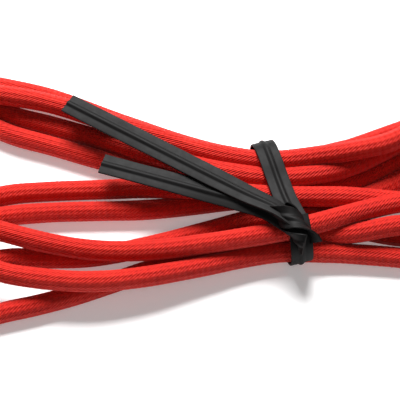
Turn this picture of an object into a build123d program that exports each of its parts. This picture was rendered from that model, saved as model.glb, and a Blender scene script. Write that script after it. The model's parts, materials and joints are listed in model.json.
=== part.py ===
from build123d import *
import os
from math import pi, tan, radians, degrees, sin, cos, sqrt

# Cable shutter release, millimetres. +Z up, +X from the cord end to the thumb button.
# The origin is on the surface it lies on, under the middle of the handle.
os.makedirs("parts", exist_ok=True)

# driving dimensions
CORD_D = 3.6          # braided cord diameter
R = CORD_D / 2
AX = 4.6              # height of the handle's axis
U0 = -34.0            # cord exit of the handle
PLUNGE = 12.0         # plunger travel
BORE_R = 2.9          # barrel bore
ROD_R = 1.5
TIE_W = 4.0           # twist tie width
TIE_T = 0.6
HX, HY = -92.0, -43.0  # middle of the tied waist of the hank
TIP_X, TIP_Y, TIP_Z = -20.0, -65.5, 4.0  # cord exit at the tip fitting

def rod(r, x0, x1, y=0.0, z=AX):
    return Plane(origin=(x0, y, z), x_dir=(0, 1, 0), z_dir=(1, 0, 0)) * extrude(Circle(r), x1 - x0)

def tube(ro, ri, x0, x1, y=0.0, z=AX):
    return rod(ro, x0, x1, y, z) - rod(ri, x0 - 1, x1 + 1, y, z)

def knurl(body, r, x0, x1, n, depth, y=0.0, z=AX):
    cuts = [Pos(0, y, z) * Rot(X=i * 360 / n) * Pos(0, 0, r + depth * 0.25) * Rot(X=45) * Box(x1 - x0, depth * 1.4, depth * 1.4)
            for i in range(n)]
    cuts = [Pos((x0 + x1) / 2, 0, 0) * c for c in cuts]
    return body.cut(*cuts)

parts = {}
# ---- handle
barrel = tube(4.0, BORE_R, U0 + 17, U0 + 43) + tube(4.0, 2.2, U0 + 13, U0 + 17)
barrel -= tube(6.0, 3.2, U0 + 37, U0 + 44)
for g in (16.5, 18.0, 19.5, 21.0, 22.5, 24.0):
    barrel -= tube(6.0, 3.75, U0 + g, U0 + g + 0.7)
parts["barrel"] = barrel
# finger plate: two wings with hollows for the fingers
wing = Pos(U0 + 38.3, 0, AX) * Box(2.6, 27.0, 9.2)
wing = fillet(wing.edges().filter_by(Axis.X), 4.3)
for s in (-1, 1):
    wing -= Pos(U0 + 29.6, s * 9.2, AX) * extrude(Circle(8.0), 12, both=True)
wing -= rod(3.2, U0 + 36, U0 + 41)
parts["finger_plate"] = wing
parts["plate_nut"] = extrude(Plane(origin=(U0 + 39.6, 0, AX), x_dir=(0, 1, 0), z_dir=(1, 0, 0)) * RegularPolygon(4.5, 6), 2.4) - rod(3.2, U0 + 39, U0 + 43)
bush = tube(BORE_R, ROD_R + 0.06, U0 + 39, U0 + 43) + tube(4.2, ROD_R + 0.06, U0 + 43, U0 + 51)
bush -= tube(6.0, 3.9, U0 + 44.0, U0 + 44.6)
bush -= tube(6.0, 3.9, U0 + 49.4, U0 + 50.0)
LSX = U0 + 47.0
bush -= Pos(LSX, 0, AX + 4) * Cylinder(1.06, 8)
parts["guide_bush"] = bush
screw = Pos(LSX, 0, AX) * (Pos(0, 0, 4.1) * Cylinder(1.0, 4.8) + Pos(0, 0, 6.3 + 1.3) * Cylinder(2.8, 2.6))
screw = screw.cut(*[Pos(LSX, 0, AX + 7.6) * Rot(Z=i * 18) * Pos(2.85, 0, 0) * Rot(Z=45) * Box(0.36, 0.36, 3.0) for i in range(20)])
screw -= Pos(LSX, 0, AX + 8.9) * Box(6.0, 0.6, 0.7)
parts["lock_screw"] = screw
parts["plunger_rod"] = rod(ROD_R, U0 + 30.0, U0 + 66.0) - rod(0.45, U0 + 29, U0 + 34)
parts["stop_collar"] = tube(2.6, ROD_R, U0 + 36.4, U0 + 38.9)
btn = tube(2.4, ROD_R, U0 + 63.5, U0 + 65.2) + rod(4.6, U0 + 65.2, U0 + 68.0)
btn -= rod(ROD_R, U0 + 63, U0 + 66.0)
btn -= rod(3.4, U0 + 67.4, U0 + 69)
btn = btn.cut(*[Pos(U0 + 66.6, 0, AX) * Rot(X=i * 15) * Pos(0, 0, 4.65) * Rot(X=45) * Box(4.0, 0.42, 0.42) for i in range(24)])
parts["thumb_button"] = btn
SP0, SP1 = U0 + 17.1, U0 + 36.3
helix = Helix(pitch=2.4, height=(SP1 - SP0) - 0.7, radius=2.2)
spr = sweep(Plane(origin=helix @ 0, z_dir=helix % 0) * Circle(0.25), path=helix)
parts["return_spring"] = Pos(SP0 + 0.35, 0, AX) * Rot(Y=90) * spr
ferr = tube(2.7, R, U0, U0 + 12) + tube(3.3, R, U0 + 9.5, U0 + 13) + tube(2.2, 0.7, U0 + 13, U0 + 17)
ferr -= tube(5, 2.45, U0 + 2.6, U0 + 3.3)
ferr -= tube(5, 2.45, U0 + 6.4, U0 + 7.1)
ferr -= rod(1.5, U0 + 14.8, U0 + 18)   # pocket the wire crimp runs into at full stroke
parts["handle_ferrule"] = ferr
parts["conduit_end_handle"] = tube(R, 0.6, U0, U0 + 13)
parts["core_wire_handle"] = rod(0.4, U0 + 13.5, U0 + 33.8)
parts["wire_crimp"] = tube(1.1, 0.4, U0 + 27.4, U0 + 29.9)

# ---- tip fitting
def trod(r, a, b): return rod(r, TIP_X + a, TIP_X + b, TIP_Y, TIP_Z)
def ttube(ro, ri, a, b): return tube(ro, ri, TIP_X + a, TIP_X + b, TIP_Y, TIP_Z)
tf = ttube(2.7, R, 0, 8) + ttube(3.3, R, 6.5, 9) + ttube(3.3, 1.6, 9, 10)
tf -= ttube(5, 2.45, 2.2, 2.9)
parts["tip_ferrule"] = tf
parts["conduit_end_tip"] = ttube(R, 0.6, 0, 9)
parts["tip_stem"] = ttube(1.6, 0.8, 9, 10) + ttube(1.08, 0.8, 10, 22.0) + ttube(1.4, 0.8, 22.0, 22.6)
coll = ttube(3.9, 1.15, 10.1, 15)
coll = coll.cut(*[Pos(TIP_X + 12.6, TIP_Y, TIP_Z) * Rot(X=i * 15) * Pos(0, 0, 3.95) * Rot(X=45) * Box(3.6, 0.4, 0.4) for i in range(24)])
cone = Plane(origin=(TIP_X + 15, TIP_Y, TIP_Z), x_dir=(0, 1, 0), z_dir=(1, 0, 0)) * (Pos(0, 0, 3.45) * Cone(2.0, 1.55, 6.9))
coll += cone - trod(1.15, 14, 23)
for i in range(12):
    rr = 2.0 - 0.45 * (0.7 + i * 0.5) / 6.9
    coll -= ttube(3.0, rr - 0.16, 15.5 + i * 0.5, 15.72 + i * 0.5)
parts["tip_collar"] = coll
parts["release_pin"] = trod(0.75, 10.0, 24.5)
parts["core_wire_tip"] = trod(0.4, 0.4, 10.0)

# ---- cord leads: straight runs joined by tangent arcs
def lead(pts, label):
    v = [Vector(*p) for p in pts]
    radii, tot = [], 0.0
    for i in range(1, len(v) - 1):
        a, b = v[i] - v[i - 1], v[i + 1] - v[i]
        t = radians(a.get_angle(b))
        radii.append(0.45 * min(a.length, b.length) / tan(t / 2))
    path = FilletPolyline(*v, radius=radii)
    s = sweep(Plane(origin=path @ 0, z_dir=path % 0) * Circle(R), path=path)
    print(label, "radii", [round(q, 1) for q in radii], "length", round(path.length, 1), "volume", round(s.volume, 1), "expected", round(pi * R * R * path.length, 1))
    return s
LEAD_H = [(-34.0, 0, 4.6), (-40.5, 0, 3.9), (-46.7, -2.0, 3.0), (-51.95, -5.8, 2.3), (-55.8, -11.1, 1.95), (-58.0, -17.2, 1.85), (-61.5, -22.7, 1.8), (-66.4, -26.9, 1.8), (-72.5, -29.3, 1.8), (-78.7, -31.1, 1.8)]
LEAD_T = [(-20.0, -65.5, 4.0), (-29.5, -65.5, 3.2), (-39.4, -64.1, 2.3), (-48.9, -61.0, 1.9), (-58.2, -57.3, 1.8), (-67.8, -54.5, 1.8), (-77.7, -53.1, 1.8)]
parts["cable_lead_handle"] = lead(LEAD_H, "handle lead")
parts["cable_lead_tip"] = lead(LEAD_T, "tip lead")

# ---- hank: the outer shape of the tied turns
OUT = [(0, 10.8), (12, 13.6), (24, 18.0), (34, 24.0), (44, 28.5), (54, 29.3), (63, 25.5), (69, 17), (70.5, 8), (67.5, -2), (60, -9), (50, -11.8), (36, -12.6), (22, -13.2), (10, -12.6), (0, -12.2), (-14, -14.5), (-30, -19), (-48, -25.5), (-63, -29.5), (-78, -26.5), (-89, -16), (-93, -2), (-91, 11), (-83, 22), (-70, 28), (-56, 28), (-42, 24.5), (-26, 18.5), (-12, 13)]
edge = Spline(*[(HX + x, HY + y) for x, y in OUT], periodic=True)
hank = extrude(Face(Wire([edge])), 7.2, dir=(0, 0, 1))
TILT = 16.0
frame_t = Pos(HX, HY, 0) * Rot(Z=TILT)
hank -= frame_t * Pos(0, 0, 0.35) * Box(5.2, 40, 0.9)
# twist tie: flat strip with a wire along its middle, closed round the waist
def loop(p0, p1, z0, z1, r, w):
    sk = Plane.YZ * (Pos((p0 + p1) / 2, (z0 + z1) / 2) * RectangleRounded(p1 - p0, z1 - z0, r))
    return extrude(sk, w / 2, both=True)
ring = loop(-13.4, 12.1, 0.0, 8.2, 2.4, TIE_W) - loop(-13.4 + TIE_T, 12.1 - TIE_T, TIE_T, 8.2 - TIE_T, 2.0, TIE_W + 2)
parts["cable_hank"] = hank
knot = Pos(HX + 2.0, HY - 8.0, 9.2) * scale(Sphere(1.0), by=(4.2, 4.6, 2.6))
def strip(a, b, w, t):
    a, b = Vector(*a), Vector(*b)
    d = (b - a)
    pl = Plane(origin=(a + b) * 0.5, x_dir=d, z_dir=(Vector(0, 0, 1) - d.normalized() * d.normalized().Z))
    return pl * Box(d.length, w, t)
T1A, T1B = (HX - 0.5, HY - 6.0, 9.6), (HX - 37.5, HY + 16.7, 8.2)
T2A, T2B = (HX - 1.0, HY - 5.6, 8.9), (HX - 31.0, HY + 4.3, 7.8)
ribbon = frame_t * ring + knot + strip(T1A, T1B, TIE_W, TIE_T) + strip(T2A, T2B, TIE_W, TIE_T)
def wire(a, b, f):
    a, b = Vector(*a), Vector(*b)
    s = a + (b - a) * f
    pl = Plane(origin=s, z_dir=(b - a))
    return pl * extrude(Circle(0.22), (b - s).length)
w1, w2 = wire(T1A, T1B, 0.25), wire(T2A, T2B, 0.25)
ribbon = ribbon - w1 - w2
parts["tie_ribbon"] = ribbon
parts["tie_wire"] = Compound(children=[w1, w2])

for name, shape in parts.items():
    export_step(shape, "parts/%s.step" % name)
    print(name, round(shape.volume, 2))
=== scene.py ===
import bpy, math, json, random
from mathutils import Vector, Matrix


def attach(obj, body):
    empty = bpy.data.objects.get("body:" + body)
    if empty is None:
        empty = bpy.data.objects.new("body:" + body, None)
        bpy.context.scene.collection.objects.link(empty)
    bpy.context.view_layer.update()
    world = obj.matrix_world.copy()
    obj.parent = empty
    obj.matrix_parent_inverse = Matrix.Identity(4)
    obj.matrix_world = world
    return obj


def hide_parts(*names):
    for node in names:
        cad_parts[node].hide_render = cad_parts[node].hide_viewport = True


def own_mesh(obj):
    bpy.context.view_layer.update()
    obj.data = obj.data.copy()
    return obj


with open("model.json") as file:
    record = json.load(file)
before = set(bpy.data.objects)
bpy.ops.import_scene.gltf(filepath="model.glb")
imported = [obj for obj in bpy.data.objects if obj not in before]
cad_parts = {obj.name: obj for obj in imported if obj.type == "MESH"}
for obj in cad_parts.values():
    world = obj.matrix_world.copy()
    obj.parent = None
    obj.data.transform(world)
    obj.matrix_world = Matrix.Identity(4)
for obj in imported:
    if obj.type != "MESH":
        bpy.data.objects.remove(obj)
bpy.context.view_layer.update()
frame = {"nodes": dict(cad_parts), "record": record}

MM = 0.001
HX, HY = -92.0, -43.0     # middle of the tied waist
R = 1.8                   # cord radius, mm
random.seed(7)

# ------------------------------------------------------------------ camera
cam_data = bpy.data.cameras.new("camera")
cam = bpy.data.objects.new("camera", cam_data)
bpy.context.scene.collection.objects.link(cam)
target = Vector((HX - 13.9, HY, 2.5)) * MM
DIST = 0.26
elev = math.radians(60)
cam.location = target + Vector((0, -math.cos(elev), math.sin(elev))) * DIST
cam.rotation_euler = (target - cam.location).to_track_quat('-Z', 'Y').to_euler()
cam_data.sensor_width = 36
cam_data.lens = 36 / (2 * 0.0356 / DIST)
cam_data.clip_start = 0.005
bpy.context.scene.camera = cam

# ------------------------------------------------------------------ the cord's route, mm, from the middle of the waist
# leads: the CAD leads' points; the last point of each is moved or left out where it joins the hank
LEAD_H = [(-34.0, 0, 4.6), (-40.5, 0, 3.9), (-46.7, -2.0, 3.0), (-51.95, -5.8, 2.3), (-55.8, -11.1, 1.95), (-58.0, -17.2, 1.85), (-61.5, -22.7, 1.8), (-66.4, -26.9, 1.8), (-72.5, -29.3, 1.8), (-78.7, -32.0, 2.0)]
LEAD_T = [(-20.0, -65.5, 4.0), (-29.5, -65.5, 3.2), (-39.4, -64.1, 2.3), (-48.9, -61.0, 1.9), (-58.2, -57.3, 1.8), (-67.8, -54.5, 1.8)]
X = [-49.5, -40.6, -31.7, -22.8, -13.9, -5.5, 0.0]
def strand(ys, zs, right):
    return [(x, y, z) for x, y, z in zip(X, ys, zs)] + right
S = {
"T1": strand([24.5, 22.1, 18.0, 14.3, 10.8, 8.6, 7.9], [1.8, 1.8, 1.8, 1.8, 2.0, 2.4, 2.5], [(6, 8.8, 2.4), (12.8, 10.8, 2.2)]),
"T2": strand([20.5, 18.7, 15.1, 11.9, 8.4, 6.4, 6.0], [5.4, 5.4, 5.4, 5.4, 5.5, 5.8, 5.9], [(6, 6.5, 6.6), (12.8, 6.9, 7.8), (21.7, 8.9, 8.1)]),
"T3": strand([18.5, 16.0, 12.5, 8.4, 4.7, 2.9, 2.4], [1.8, 1.8, 2.6, 4.4, 5.7, 6.0, 5.9], [(6, 3.2, 5.7), (12.8, 5.3, 4.7), (21.7, 10.6, 4.3)]),
"T4": strand([14.3, 11.7, 8.6, 6.3, 5.0, 4.4, 4.2], [1.8, 1.8, 1.8, 1.8, 2.0, 2.4, 2.5], [(6, 3.6, 2.2), (12.8, 3.0, 1.8), (21.7, 7.9, 1.8)]),
"M1": strand([1.5, 2.2, 2.4, 2.0, 0.6, -0.7, -1.2], [1.8, 1.8, 2.0, 3.4, 5.3, 5.9, 5.9], [(6, -1.2, 5.8), (12.8, -1.0, 5.4), (21.7, 0.0, 1.9)]),
"M2": strand([-2.9, -2.1, -1.9, -1.7, -0.6, 0.3, 0.6], [1.8, 1.8, 1.8, 1.8, 2.0, 2.4, 2.5], [(6, 0.1, 2.2), (12.8, -0.7, 1.8), (21.7, 4.2, 1.8)]),
"L1": strand([-7.5, -10.2, -11.8, -11.7, -10.6, -9.3, -8.3], [5.2, 5.2, 5.2, 5.2, 5.4, 5.8, 5.9], [(6, -6.9, 6.1), (12.8, -4.7, 6.1), (21.7, -1.8, 5.2)]),
"L2": strand([-11.1, -11.5, -11.1, -9.0, -6.4, -4.0, -3.2], [1.8, 1.8, 1.8, 1.8, 1.9, 2.4, 2.5], [(6, -3.4, 2.2), (12.8, -5.2, 1.8), (21.7, -7.4, 1.8)]),
"L3": strand([-15.8, -17.3, -17.8, -16.4, -13.9, -11.4, -10.4], [5.4, 5.4, 5.2, 4.6, 3.4, 2.6, 2.5], [(6, -10.4, 2.3), (12.8, -10.5, 1.9)]),
"L4": strand([-22.2, -20.2, -17.3, -13.6, -10.9, -7.9, -6.9], [1.8, 1.8, 1.8, 1.8, 1.9, 2.4, 2.5], [(6, -6.9, 2.6), (12.8, -8.1, 4.6), (21.7, -6.3, 5.5)]),
}
def turn(cx, cy, r, a0, a1, n, z0, z1, k=1.0):
    """Points round the end of a turn."""
    out = []
    for i in range(n):
        f = i / (n - 1)
        a = math.radians(a0 + (a1 - a0) * f)
        out.append((cx + r * k * 1.03 * math.cos(a), cy + r * 1.03 * math.sin(a), z0 + (z1 - z0) * f))
    return out
rev = lambda s: list(reversed(s))
route = [(x - HX, y - HY, z) for x, y, z in LEAD_H]
route += rev(S["T1"])
route += [(-57.5, 25.9, 1.8)] + turn(-63, -1, 27.0, 90, 270, 15, 1.8, 1.8) + [(-56.5, -25.6, 1.8)]
route += S["L4"]
route += [(29, -7.8, 5.4), (37, -9.7, 3.8), (44, -10.0, 2.0)] + turn(50.5, 9, 18.2, -85, 90, 11, 1.8, 1.8) + [(43, 26.4, 4.8), (36.5, 22.6, 8.0), (29.5, 15.8, 9.2)]
route += rev(S["T2"])
route += [(-56.5, 21.4, 5.4)] + turn(-63, 8.5, 12.7, 90, 270, 9, 5.2, 5.2) + [(-56.5, -5.2, 5.3)]
route += S["L1"]
route += [(30, -1.4, 5.1), (40, -3.2, 5.1)] + turn(50, 9, 12.9, -90, 90, 8, 5.1, 5.1) + [(40.5, 20.8, 5.1), (31, 16.2, 5.1)]
route += rev(S["T3"])
route += [(-56, 22.6, 1.8)] + turn(-63, 8.5, 14.8, 90, 270, 10, 1.8, 1.8) + [(-56, -4.9, 1.8)]
route += S["M2"]
route += [(30, 9.4, 1.8), (39.5, 16.4, 1.8), (45.3, 20.0, 1.8)] + turn(50, 9, 10.9, 85, -85, 8, 1.8, 1.8) + [(39.5, -1.2, 1.8), (30, 0.0, 1.8)]
route += rev(S["M1"])
route += [(-56.5, -1.6, 1.8)] + turn(-63, 8.5, 10.9, 265, 95, 8, 1.8, 1.8) + [(-56.5, 18.9, 1.8)]
route += S["T4"]
route += [(30, 14.0, 1.8), (39.5, 21.4, 1.8)] + turn(50, 9, 14.7, 88, -90, 9, 1.8, 1.8) + [(39.5, -5.8, 1.8), (30, -6.6, 1.8)]
route += rev(S["L2"])
route += [(-56, -15.6, 1.8)] + turn(-68, -12.6, 11.1, 310, 80, 12, 1.8, 10.0) + [(-61.5, -2.6, 9.9), (-57.4, -5.8, 9.0), (-53.6, -12.2, 7.2)]
route += S["L3"]
route += [(x - HX, y - HY, z) for x, y, z in rev(LEAD_T)]
PTS = [Vector(((x + HX) * MM, (y + HY) * MM, z * MM)) for x, y, z in route]

def nurbs_points(pts, res=12):
    cu = bpy.data.curves.new("route", 'CURVE')
    cu.dimensions = '3D'
    sp = cu.splines.new('NURBS')
    sp.points.add(len(pts) - 1)
    for i, p in enumerate(pts):
        sp.points[i].co = (p.x, p.y, p.z, 1)
    sp.order_u = 3
    sp.use_endpoint_u = True
    sp.resolution_u = res
    ob = bpy.data.objects.new("route", cu)
    bpy.context.scene.collection.objects.link(ob)
    bpy.context.view_layer.update()
    me = bpy.data.meshes.new_from_object(ob)
    out = [v.co.copy() for v in me.vertices]
    bpy.data.objects.remove(ob)
    bpy.data.meshes.remove(me)
    return out

def even(pts, step):
    """The same line, read at even steps along its length."""
    d = [0.0]
    for a, b in zip(pts, pts[1:]):
        d.append(d[-1] + (b - a).length)
    n = max(2, int(round(d[-1] / step)))
    out, j = [], 0
    for i in range(n + 1):
        t = d[-1] * i / n
        while j < len(d) - 2 and d[j + 1] < t:
            j += 1
        f = (t - d[j]) / max(1e-12, d[j + 1] - d[j])
        out.append(pts[j].lerp(pts[j + 1], min(1, max(0, f))))
    return out, d[-1]

line = nurbs_points(PTS)
path, LENGTH = even(line, 0.0005)

def frames(pts):
    tang = [(pts[min(i + 1, len(pts) - 1)] - pts[max(i - 1, 0)]).normalized() for i in range(len(pts))]
    n = tang[0].cross(Vector((0, 0, 1))).normalized()
    ns = []
    for t in tang:
        n = (n - t * n.dot(t)).normalized()
        ns.append(n.copy())
    return tang, ns

def link(name, me):
    ob = bpy.data.objects.new(name, me)
    bpy.context.scene.collection.objects.link(ob)
    return ob

NSEG = 26
tang, norm = frames(path)
verts, faces = [], []
PITCH = 2.15e-3
for i, p in enumerate(path):
    b = tang[i].cross(norm[i])
    u = i * LENGTH / (len(path) - 1)
    swell = 0.02 * math.sin(u * 210) + 0.014 * math.sin(u * 643 + 1.3)
    for k in range(NSEG):
        a = 2 * math.pi * k / NSEG
        h = math.sin(2 * math.pi * (u / PITCH) + 6 * a) * math.sin(2 * math.pi * (u / PITCH) - 6 * a)
        r = (R + 0.0 + 0.035 * h + swell) * MM
        verts.append(p + (norm[i] * math.cos(a) + b * math.sin(a)) * r)
uv_b, uv_o = [], []
ROWS = 44
per = math.ceil((len(path) - 1) / ROWS)
for i in range(len(path) - 1):
    row, col = divmod(i, per)
    u0, u1 = i * LENGTH / (len(path) - 1), (i + 1) * LENGTH / (len(path) - 1)
    for k in range(NSEG):
        k2 = (k + 1) % NSEG
        faces.append((i * NSEG + k, i * NSEG + k2, (i + 1) * NSEG + k2, (i + 1) * NSEG + k))
        v0, v1 = k / NSEG, (k + 1) / NSEG
        uv_b += [(u0, v0), (u0, v1), (u1, v1), (u1, v0)]
        c0, c1 = (col + 0.2) / (per + 1.4), (col + 1.2) / (per + 1.4)
        r0, r1 = (row + 0.06 + 0.88 * v0) / ROWS, (row + 0.06 + 0.88 * v1) / ROWS
        uv_o += [(c0, r0), (c0, r1), (c1, r1), (c1, r0)]
n0 = len(verts)
for end, base in ((0, 0), (1, (len(path) - 1) * NSEG)):
    verts.append(path[0] if end == 0 else path[-1])
    for k in range(NSEG):
        k2 = (k + 1) % NSEG
        faces.append((n0 + end, base + k2, base + k) if end == 0 else (n0 + end, base + k, base + k2))
        uv_b += [(0, 0), (0, 0.01), (0.0001, 0)]
        uv_o += [(0.999, 0.999), (0.999, 0.9995), (0.9995, 0.999)]
me = bpy.data.meshes.new("cord")
me.from_pydata(verts, [], faces)
for nm, data in (("Braid", uv_b), ("OFBake", uv_o)):
    lay = me.uv_layers.new(name=nm)
    flat = [c for q in data for c in q]
    lay.data.foreach_set("uv", flat)
me.polygons.foreach_set("use_smooth", [True] * len(me.polygons))
me.update()
cord = link("cord", me)

# ------------------------------------------------------------------ materials
def new_mat(name):
    m = bpy.data.materials.new(name)
    m.use_nodes = True
    nt = m.node_tree
    bs = nt.nodes["Principled BSDF"]
    return m, nt, bs

def math_node(nt, op, a, b=None):
    n = nt.nodes.new("ShaderNodeMath")
    n.operation = op
    for i, v in enumerate((a, b)):
        if v is None:
            continue
        if isinstance(v, (int, float)):
            n.inputs[i].default_value = v
        else:
            nt.links.new(v, n.inputs[i])
    return n.outputs[0]

def ramp(nt, fac, stops):
    n = nt.nodes.new("ShaderNodeValToRGB")
    while len(n.color_ramp.elements) < len(stops):
        n.color_ramp.elements.new(0.5)
    for e, (pos, col) in zip(n.color_ramp.elements, stops):
        e.position = pos
        e.color = (*col, 1)
    nt.links.new(fac, n.inputs[0])
    return n.outputs[0]

def noise(nt, scale, detail=4, rough=0.6, coord=None):
    n = nt.nodes.new("ShaderNodeTexNoise")
    n.inputs["Scale"].default_value = scale
    n.inputs["Detail"].default_value = detail
    n.inputs["Roughness"].default_value = rough
    if coord is None:
        tc = nt.nodes.new("ShaderNodeTexCoord")
        coord = tc.outputs["Object"]
    nt.links.new(coord, n.inputs["Vector"])
    return n.outputs["Fac"]

def bump(nt, bs, h, strength, dist):
    b = nt.nodes.new("ShaderNodeBump")
    b.inputs["Strength"].default_value = strength
    b.inputs["Distance"].default_value = dist
    nt.links.new(h, b.inputs["Height"])
    nt.links.new(b.outputs[0], bs.inputs["Normal"])

def braid_mat():
    m, nt, bs = new_mat("red_braided_cotton")
    uv = nt.nodes.new("ShaderNodeUVMap"); uv.uv_map = "Braid"
    sep = nt.nodes.new("ShaderNodeSeparateXYZ"); nt.links.new(uv.outputs[0], sep.inputs[0])
    au = math_node(nt, "MULTIPLY", sep.outputs[0], 2 * math.pi / 0.00215)
    av = math_node(nt, "MULTIPLY", sep.outputs[1], 2 * math.pi * 6)
    s1 = math_node(nt, "SINE", math_node(nt, "ADD", au, av))
    s2 = math_node(nt, "SINE", math_node(nt, "SUBTRACT", au, av))
    d = math_node(nt, "MULTIPLY", s1, s2)
    f1 = math_node(nt, "SINE", math_node(nt, "ADD", math_node(nt, "MULTIPLY", au, 3.0), math_node(nt, "MULTIPLY", av, 4.0)))
    h = math_node(nt, "ADD", math_node(nt, "MULTIPLY", d, 0.45), math_node(nt, "MULTIPLY", f1, 0.22))
    n1 = noise(nt, 900, 5, 0.7)
    n2 = noise(nt, 60, 3, 0.5)
    hh = math_node(nt, "ADD", h, math_node(nt, "MULTIPLY", n1, 1.1))
    # colour: random tone from the noise, plus painted shade from the braid height h, so the grooves are coloured darker
    # and the raised yarn lighter
    tone_and_groove_shade = math_node(nt, "ADD", math_node(nt, "MULTIPLY", h, 0.12), math_node(nt, "ADD", math_node(nt, "MULTIPLY", n1, 0.5), math_node(nt, "MULTIPLY", n2, 0.35)))
    col = ramp(nt, tone_and_groove_shade, [(0.15, (0.34, 0.0015, 0.0003)), (0.42, (0.53, 0.0065, 0.0006)), (0.70, (0.66, 0.024, 0.010))])
    nt.links.new(col, bs.inputs["Base Color"])
    bs.inputs["Roughness"].default_value = 0.72
    bs.inputs["Specular IOR Level"].default_value = 0.25
    bs.inputs["Sheen Weight"].default_value = 0.32
    bs.inputs["Sheen Roughness"].default_value = 0.45
    bs.inputs["Sheen Tint"].default_value = (1.0, 0.35, 0.32, 1)
    bump(nt, bs, hh, 0.9, 0.00022)
    return m

def tie_mat():
    m, nt, bs = new_mat("black_tie_plastic")
    n = noise(nt, 700, 3, 0.6)
    col = ramp(nt, n, [(0.3, (0.0022, 0.0018, 0.0018)), (0.8, (0.006, 0.0055, 0.0055))])
    nt.links.new(col, bs.inputs["Base Color"])
    r = math_node(nt, "ADD", math_node(nt, "MULTIPLY", n, 0.2), 0.48)
    nt.links.new(r, bs.inputs["Roughness"])
    bs.inputs["Specular IOR Level"].default_value = 0.14
    bump(nt, bs, n, 0.12, 0.0001)
    return m

def metal(name, lo, hi, rough, scale=350):
    m, nt, bs = new_mat(name)
    n = noise(nt, scale, 5, 0.65)
    w = noise(nt, 45, 3, 0.5)
    col = ramp(nt, math_node(nt, "ADD", math_node(nt, "MULTIPLY", n, 0.5), math_node(nt, "MULTIPLY", w, 0.5)), [(0.3, lo), (0.7, hi)])
    nt.links.new(col, bs.inputs["Base Color"])
    bs.inputs["Metallic"].default_value = 1.0
    r = math_node(nt, "ADD", math_node(nt, "MULTIPLY", n, 0.22), rough)
    nt.links.new(r, bs.inputs["Roughness"])
    bump(nt, bs, n, 0.06, 0.00005)
    return m

def plastic(name, lo, hi):
    m, nt, bs = new_mat(name)
    n = noise(nt, 500, 4, 0.6)
    nt.links.new(ramp(nt, n, [(0.3, lo), (0.7, hi)]), bs.inputs["Base Color"])
    r = math_node(nt, "ADD", math_node(nt, "MULTIPLY", n, 0.2), 0.18)
    nt.links.new(r, bs.inputs["Roughness"])
    bump(nt, bs, n, 0.05, 0.0001)
    return m

BRAID, TIE = braid_mat(), tie_mat()
NICKEL = metal("worn_nickel", (0.50, 0.47, 0.42), (0.74, 0.72, 0.68), 0.14)
STEEL = metal("drawn_steel", (0.42, 0.42, 0.43), (0.62, 0.62, 0.63), 0.25)
BRASS = metal("turned_brass", (0.55, 0.38, 0.15), (0.76, 0.57, 0.27), 0.2)
BLACKP = plastic("black_button", (0.008, 0.008, 0.009), (0.022, 0.021, 0.021))
SLOT = {"nickel": NICKEL, "steel": STEEL, "brass": BRASS, "black_plastic": BLACKP, "black_tie": TIE, "red_braid": BRAID}
end_braid = metal("cut_braid", (0.3, 0.003, 0.001), (0.6, 0.01, 0.004), 0.7)
end_braid.node_tree.nodes["Principled BSDF"].inputs["Metallic"].default_value = 0.0
for sub in frame["record"]["subparts"]:
    ob = bpy.data.objects.get(sub["node"])
    if ob is None:
        continue
    mat = SLOT[sub["material_slot"]]
    if sub["material_slot"] == "red_braid":
        mat = end_braid
    ob.data.materials.clear()
    ob.data.materials.append(mat)
cord.data.materials.append(BRAID)

# ------------------------------------------------------------------ twist tie: a flat strip with a rib over its wire
PROFILE = [(-2.0, 0.0), (-1.93, 0.16), (-1.7, 0.21), (-1.25, 0.18), (-0.95, 0.23), (-0.7, 0.19), (-0.48, 0.26), (-0.25, 0.44), (0, 0.50), (0.25, 0.44), (0.48, 0.26), (0.7, 0.19), (0.95, 0.23), (1.25, 0.18), (1.7, 0.21), (1.93, 0.16),
           (2.0, 0.0), (1.93, -0.16), (1.6, -0.2), (0.5, -0.2), (0.2, -0.3), (0, -0.33), (-0.2, -0.3), (-0.5, -0.2), (-1.6, -0.2), (-1.93, -0.16)]
def local(p):
    return Vector(((p[0] + HX) * MM, (p[1] + HY) * MM, p[2] * MM))

def strip(pts, ups, closed=False, widths=None, sub=10):
    """A strip swept through pts with its face towards ups."""
    n = len(pts)
    P = [Vector(p) for p in pts]; U = [Vector(u).normalized() for u in ups]
    W = widths or [1.0] * n
    ring, out_v, out_f = [], [], []
    segs = n if closed else n - 1
    for s in range(segs):
        i0, i1, i2, i3 = (s - 1) % n if closed else max(s - 1, 0), s, (s + 1) % n, (s + 2) % n if closed else min(s + 2, n - 1)
        for k in range(sub):
            t = k / sub
            def cr(a, b, c, d):
                return 0.5 * ((2 * b) + (c - a) * t + (2 * a - 5 * b + 4 * c - d) * t * t + (3 * b - a - 3 * c + d) * t ** 3)
            ring.append((cr(P[i0], P[i1], P[i2], P[i3]), U[i1].lerp(U[i2], t), W[i1] * (1 - t) + W[i2] * t))
    if not closed:
        ring.append((P[-1], U[-1], W[-1]))
    m = len(ring); q = len(PROFILE)
    for i, (c, up, w) in enumerate(ring):
        a = ring[(i - 1) % m if closed else max(i - 1, 0)][0]; b = ring[(i + 1) % m if closed else min(i + 1, m - 1)][0]
        t = (b - a).normalized()
        up = (up - t * up.dot(t)).normalized()
        side = t.cross(up)
        for px, pz in PROFILE:
            out_v.append(local(c + side * px * w + up * pz))
    for i in range(m if closed else m - 1):
        j = (i + 1) % m
        for k in range(q):
            k2 = (k + 1) % q
            out_f.append((i * q + k, i * q + k2, j * q + k2, j * q + k))
    if not closed:
        out_f.append(tuple(reversed(range(q))))
        out_f.append(tuple((m - 1) * q + k for k in range(q)))
    return out_v, out_f

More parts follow.
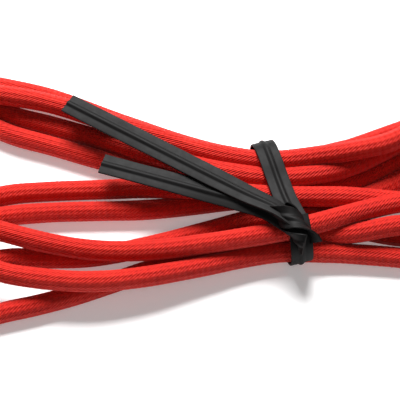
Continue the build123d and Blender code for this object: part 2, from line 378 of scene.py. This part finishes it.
def strips(name, items):
    V, F = [], []
    for v, f in items:
        o = len(V)
        V += v
        F += [tuple(a + o for a in face) for face in f]
    me = bpy.data.meshes.new(name)
    me.from_pydata(V, [], F)
    me.update()
    me.polygons.foreach_set("use_smooth", [True] * len(me.polygons))
    ob = link(name, me)
    import bmesh
    bm = bmesh.new(); bm.from_mesh(me)
    bmesh.ops.recalc_face_normals(bm, faces=bm.faces)
    bm.to_mesh(me); bm.free()
    md = ob.modifiers.new("edge", 'EDGE_SPLIT'); md.split_angle = math.radians(50)
    ob.data.materials.append(TIE)
    return ob

ct, st_ = math.cos(math.radians(16)), math.sin(math.radians(16))
def ring_pt(p, z, off=0.0):
    return (-st_ * p + ct * off, ct * p + st_ * off, z)
def up_of(dp, dz):
    return (-st_ * dp, ct * dp, dz)
band = strip([ring_pt(-9.3, 9.3, 0.6), ring_pt(-6.2, 9.0, 0.2), ring_pt(-3, 8.45), ring_pt(1, 8.1), ring_pt(5, 8.2), ring_pt(8.2, 7.7), ring_pt(10.3, 5.8), ring_pt(10.6, 3.2), ring_pt(8.6, 0.9), ring_pt(4.5, 0.34),
              ring_pt(0, 0.34), ring_pt(-5, 0.34), ring_pt(-9.5, 0.5), ring_pt(-12.4, 1.8), ring_pt(-13.6, 4.4), ring_pt(-12.9, 7.2), ring_pt(-10.9, 8.9, 0.3), ring_pt(-7.6, 9.6, 0.6)],
             [up_of(0, 1), up_of(0, 1), up_of(0, 1), up_of(0, 1), up_of(0.15, 1), up_of(0.7, 0.8), up_of(1, 0.3), up_of(1, -0.3), up_of(0.6, -1), up_of(0, -1),
              up_of(0, -1), up_of(0, -1), up_of(-0.4, -1), up_of(-1, -0.5), up_of(-1, 0.1), up_of(-0.9, 0.6), up_of(-0.4, 1), up_of(0.2, 1)])
# the twist: the two ends wind round each other
ka, kb = [], []
ua, ub = [], []
n_t = 9
for i in range(n_t):
    f = i / (n_t - 1)
    a = math.radians(-40 + 230 * f)
    base = Vector((4.6 - 4.8 * f, -12.4 + 7.0 * f, 9.0 + 0.5 * math.sin(math.pi * f)))
    ax = Vector((-5.2, 6.4, 0)).normalized(); s1 = ax.cross(Vector((0, 0, 1))).normalized()
    off = s1 * math.cos(a) * 1.05 + Vector((0, 0, 1)) * math.sin(a) * 0.95
    ka.append(base + off * 1.35); kb.append(base - off * 1.35)
    ua.append(s1 * math.cos(a) + Vector((0, 0, 1)) * math.sin(a)); ub.append(-(s1 * math.cos(a) + Vector((0, 0, 1)) * math.sin(a)))
wk = [0.95, 1.0, 1.0, 1.0, 1.0, 1.0, 0.95, 0.9, 0.85]
knot_a = strip([tuple(p) for p in ka], [tuple(u) for u in ua], widths=wk, sub=6)
knot_b = strip([tuple(p) for p in kb], [tuple(u) for u in ub], widths=wk, sub=6)
tail1 = strip([(2.6, -9.2, 10.0), (-0.6, -6.0, 10.0), (-6.0, -2.62, 9.4), (-12, 1.06, 9.16), (-20, 5.96, 8.86), (-29, 11.5, 8.52), (-37.8, 16.9, 8.19)],
              [(0.5, 0.3, 0.8), (0.25, 0.2, 1), (0.08, 0.05, 1), (0, 0, 1), (0, 0, 1), (-0.02, -0.05, 1), (0, 0, 1)], widths=[0.8, 0.85, 0.95, 1, 1, 1, 1])
tail2 = strip([(2.4, -9.4, 8.9), (-2.2, -5.8, 8.85), (-7.0, -3.65, 8.68), (-12.5, -1.8, 8.48), (-19, 0.34, 8.24), (-25, 2.32, 8.02), (-31.2, 4.37, 7.79)],
              [(0.3, -0.5, 0.8), (0.1, -0.3, 1), (0, -0.2, 1), (0, -0.15, 1), (0, 0, 1), (0, 0.05, 1), (0, 0, 1)], widths=[0.8, 0.9, 1, 1, 1, 1, 1])
tie = strips("twist_tie", [band, knot_a, knot_b, tail1, tail2])

# ------------------------------------------------------------------ loose fibres standing off the braid
fv, ff = [], []
for j in range(2600):
    i = random.randrange(40, len(path) - 40)
    a = random.random() * 2 * math.pi
    b = tang[i].cross(norm[i])
    d = norm[i] * math.cos(a) + b * math.sin(a)
    base = path[i] + d * (R - 0.08) * MM
    if base.z < 0.0006:
        continue
    ln = random.uniform(0.25, 0.75) * MM * (2.0 if random.random() < 0.04 else 1.0)
    side = (tang[i] * random.uniform(-1, 1) + d.cross(tang[i]) * random.uniform(-1, 1)).normalized()
    mid = base + d * ln * 0.35 + side * ln * 0.3
    tip = base + d * ln * 0.40 + side * ln * 0.9
    if tip.z < 0.0003:
        continue
    w = 0.028 * MM
    o = len(fv)
    sx = d.cross(side).normalized()
    for c, k in ((base, 1.0), (mid, 0.8)):
        fv += [c + sx * w * k, c - sx * w * k * 0.5 + side.cross(sx) * w * k * 0.8, c - sx * w * k * 0.5 - side.cross(sx) * w * k * 0.8]
    fv.append(tip)
    ff += [(o, o + 1, o + 4, o + 3), (o + 1, o + 2, o + 5, o + 4), (o + 2, o, o + 3, o + 5), (o + 3, o + 4, o + 6), (o + 4, o + 5, o + 6), (o + 5, o + 3, o + 6), (o + 2, o + 1, o)]
fm = bpy.data.meshes.new("loose_fibres")
fm.from_pydata(fv, [], ff); fm.update()
fibres = link("loose_fibres", fm)
fmat, fnt, fbs = new_mat("red_fibre")
fnt.links.new(ramp(fnt, noise(fnt, 200), [(0.3, (0.5, 0.008, 0.003)), (0.7, (0.85, 0.06, 0.03))]), fbs.inputs["Base Color"])
fbs.inputs["Roughness"].default_value = 0.8
fibres.data.materials.append(fmat)

# ------------------------------------------------------------------ what rides on what
for p in (cord, tie, fibres):
    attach(p, "handle")
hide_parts("cable_lead_handle", "cable_hank", "cable_lead_tip")
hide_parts("tie_ribbon")
# the return spring: a copy of its mesh rides on the handle in place of the CAD part
spring_node = frame["nodes"]["return_spring"]
spring = bpy.data.objects.new("spring", spring_node.data.copy())
bpy.context.scene.collection.objects.link(spring)
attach(spring, "handle")
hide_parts("return_spring")
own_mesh(spring)

# ------------------------------------------------------------------ floor and light
fme = bpy.data.meshes.new("floor")
fme.from_pydata([(-3, -3, 0), (3, -3, 0), (3, 3, 0), (-3, 3, 0)], [], [(0, 1, 2, 3)])
floor = link("floor", fme)
fl, flt, flb = new_mat("pale_floor")
flb.inputs["Base Color"].default_value = (0.93, 0.93, 0.93, 1)
flb.inputs["Roughness"].default_value = 0.9
flb.inputs["Emission Color"].default_value = (1, 1, 1, 1)
flb.inputs["Emission Strength"].default_value = 0.22
floor.data.materials.append(fl)
def area(name, loc, size, power, look):
    l = bpy.data.lights.new(name, 'AREA')
    l.shape = 'RECTANGLE'; l.size, l.size_y = size
    l.energy = power
    o = bpy.data.objects.new(name, l)
    bpy.context.scene.collection.objects.link(o)
    o.location = loc
    o.rotation_euler = (Vector(look) - Vector(loc)).to_track_quat('-Z', 'Y').to_euler()
c = (-0.08, -0.03, 0.0)
area("key", (c[0] - 0.06, c[1] + 0.46, 0.58), (0.42, 0.30), 13.0, c)
area("fill", (c[0] + 0.1, c[1] - 0.5, 0.85), (0.8, 0.5), 0.9, c)
w = bpy.data.worlds.new("world")
w.use_nodes = True
w.node_tree.nodes["Background"].inputs[0].default_value = (1, 1, 1, 1)
w.node_tree.nodes["Background"].inputs[1].default_value = 0.12
bpy.context.scene.world = w
bpy.context.scene.view_settings.view_transform = 'Standard'
